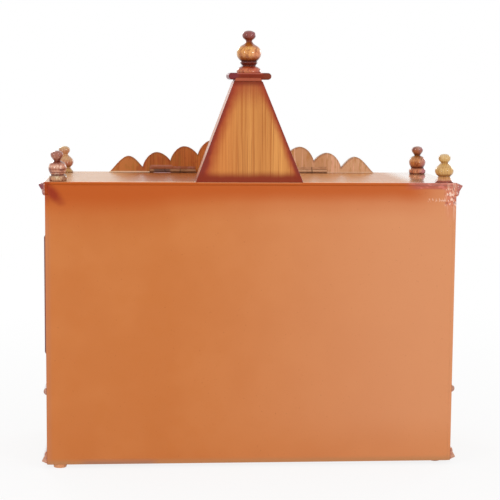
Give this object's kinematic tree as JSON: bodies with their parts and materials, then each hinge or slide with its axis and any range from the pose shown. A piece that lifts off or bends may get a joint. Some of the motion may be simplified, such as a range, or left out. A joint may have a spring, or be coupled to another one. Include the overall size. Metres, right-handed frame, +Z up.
{
  "type": "wall-mounted pooja mandir",
  "caption": "Lacquered wooden home shrine case with an open front, flat-backed spire, fold-back scalloped crest and turned finials.",
  "frame": {"origin": "middle of the bounding box's bottom, on the plane that the feet stand on", "axes": "+Z up, the open front faces -Y, the flat back faces +Y, +X to the right as seen from the front"},
  "size_m": [0.611, 0.2486, 0.6347],
  "materials": {
    "back_paint": "sprayed orange-brown lacquer, semi-gloss",
    "case_lacquer": "high-gloss orange-brown lacquer",
    "side_lacquer": "gloss lacquer over veneered board",
    "red_stain": "dark red-brown stained gloss lacquer",
    "inner_veneer": "satin brown veneer",
    "spire_veneer": "golden reeded veneer, gloss, dark stained edges",
    "crest_veneer": "upright-grained veneer with dark stained edge",
    "turned_pale": "turned pale wood, gloss lacquer",
    "turned_red": "turned red-brown wood, gloss lacquer",
    "turned_pink": "turned pinkish brown wood, gloss lacquer",
    "turned_gold": "turned golden brown wood, gloss lacquer",
    "foot_pad": "sprayed light orange",
    "hinge_steel": "bright steel, lightly tarnished"
  },
  "bodies": {
    "case": {"back_panel": "back_paint", "side_left": "side_lacquer", "side_right": "side_lacquer", "top_board": "case_lacquer", "bottom_board": "inner_veneer", "shelf_deck": "inner_veneer", "base_front": "inner_veneer", "post_left": "inner_veneer", "post_right": "inner_veneer", "front_arch": "inner_veneer", "crown_left": "red_stain", "crown_right": "red_stain", "crown_front": "red_stain", "waist_left": "red_stain", "waist_right": "red_stain", "waist_front": "red_stain", "base_mould_left": "red_stain", "base_mould_right": "red_stain", "base_mould_front": "red_stain", "raised_panel_left": "red_stain", "raised_panel_right": "red_stain", "foot_front_left": "foot_pad", "foot_front_right": "foot_pad", "foot_back_left": "foot_pad", "foot_back_right": "foot_pad", "finial_front_left": "turned_red", "finial_front_right": "turned_pink", "finial_back_left": "turned_pale", "finial_back_right": "turned_pink", "spire_back": "spire_veneer", "spire_front": "spire_veneer", "spire_left": "spire_veneer", "spire_right": "spire_veneer", "spire_collar": "red_stain", "spire_cap": "red_stain", "spire_finial": "turned_gold", "hinge_plate_left": "hinge_steel", "hinge_plate_right": "hinge_steel", "hinge_pin_left": "hinge_steel", "hinge_pin_right": "hinge_steel"},
    "crest": {"crest_board": "crest_veneer", "hinge_leaf_left": "hinge_steel", "hinge_leaf_right": "hinge_steel"}
  },
  "joints": [
    {"name": "crest_fold", "type": "hinge", "parent": "case", "child": "crest", "pos_m": [0, -0.09295, 0.4208], "axis": [-1, 0, 0], "range_deg": [0, 90]}
  ]
}
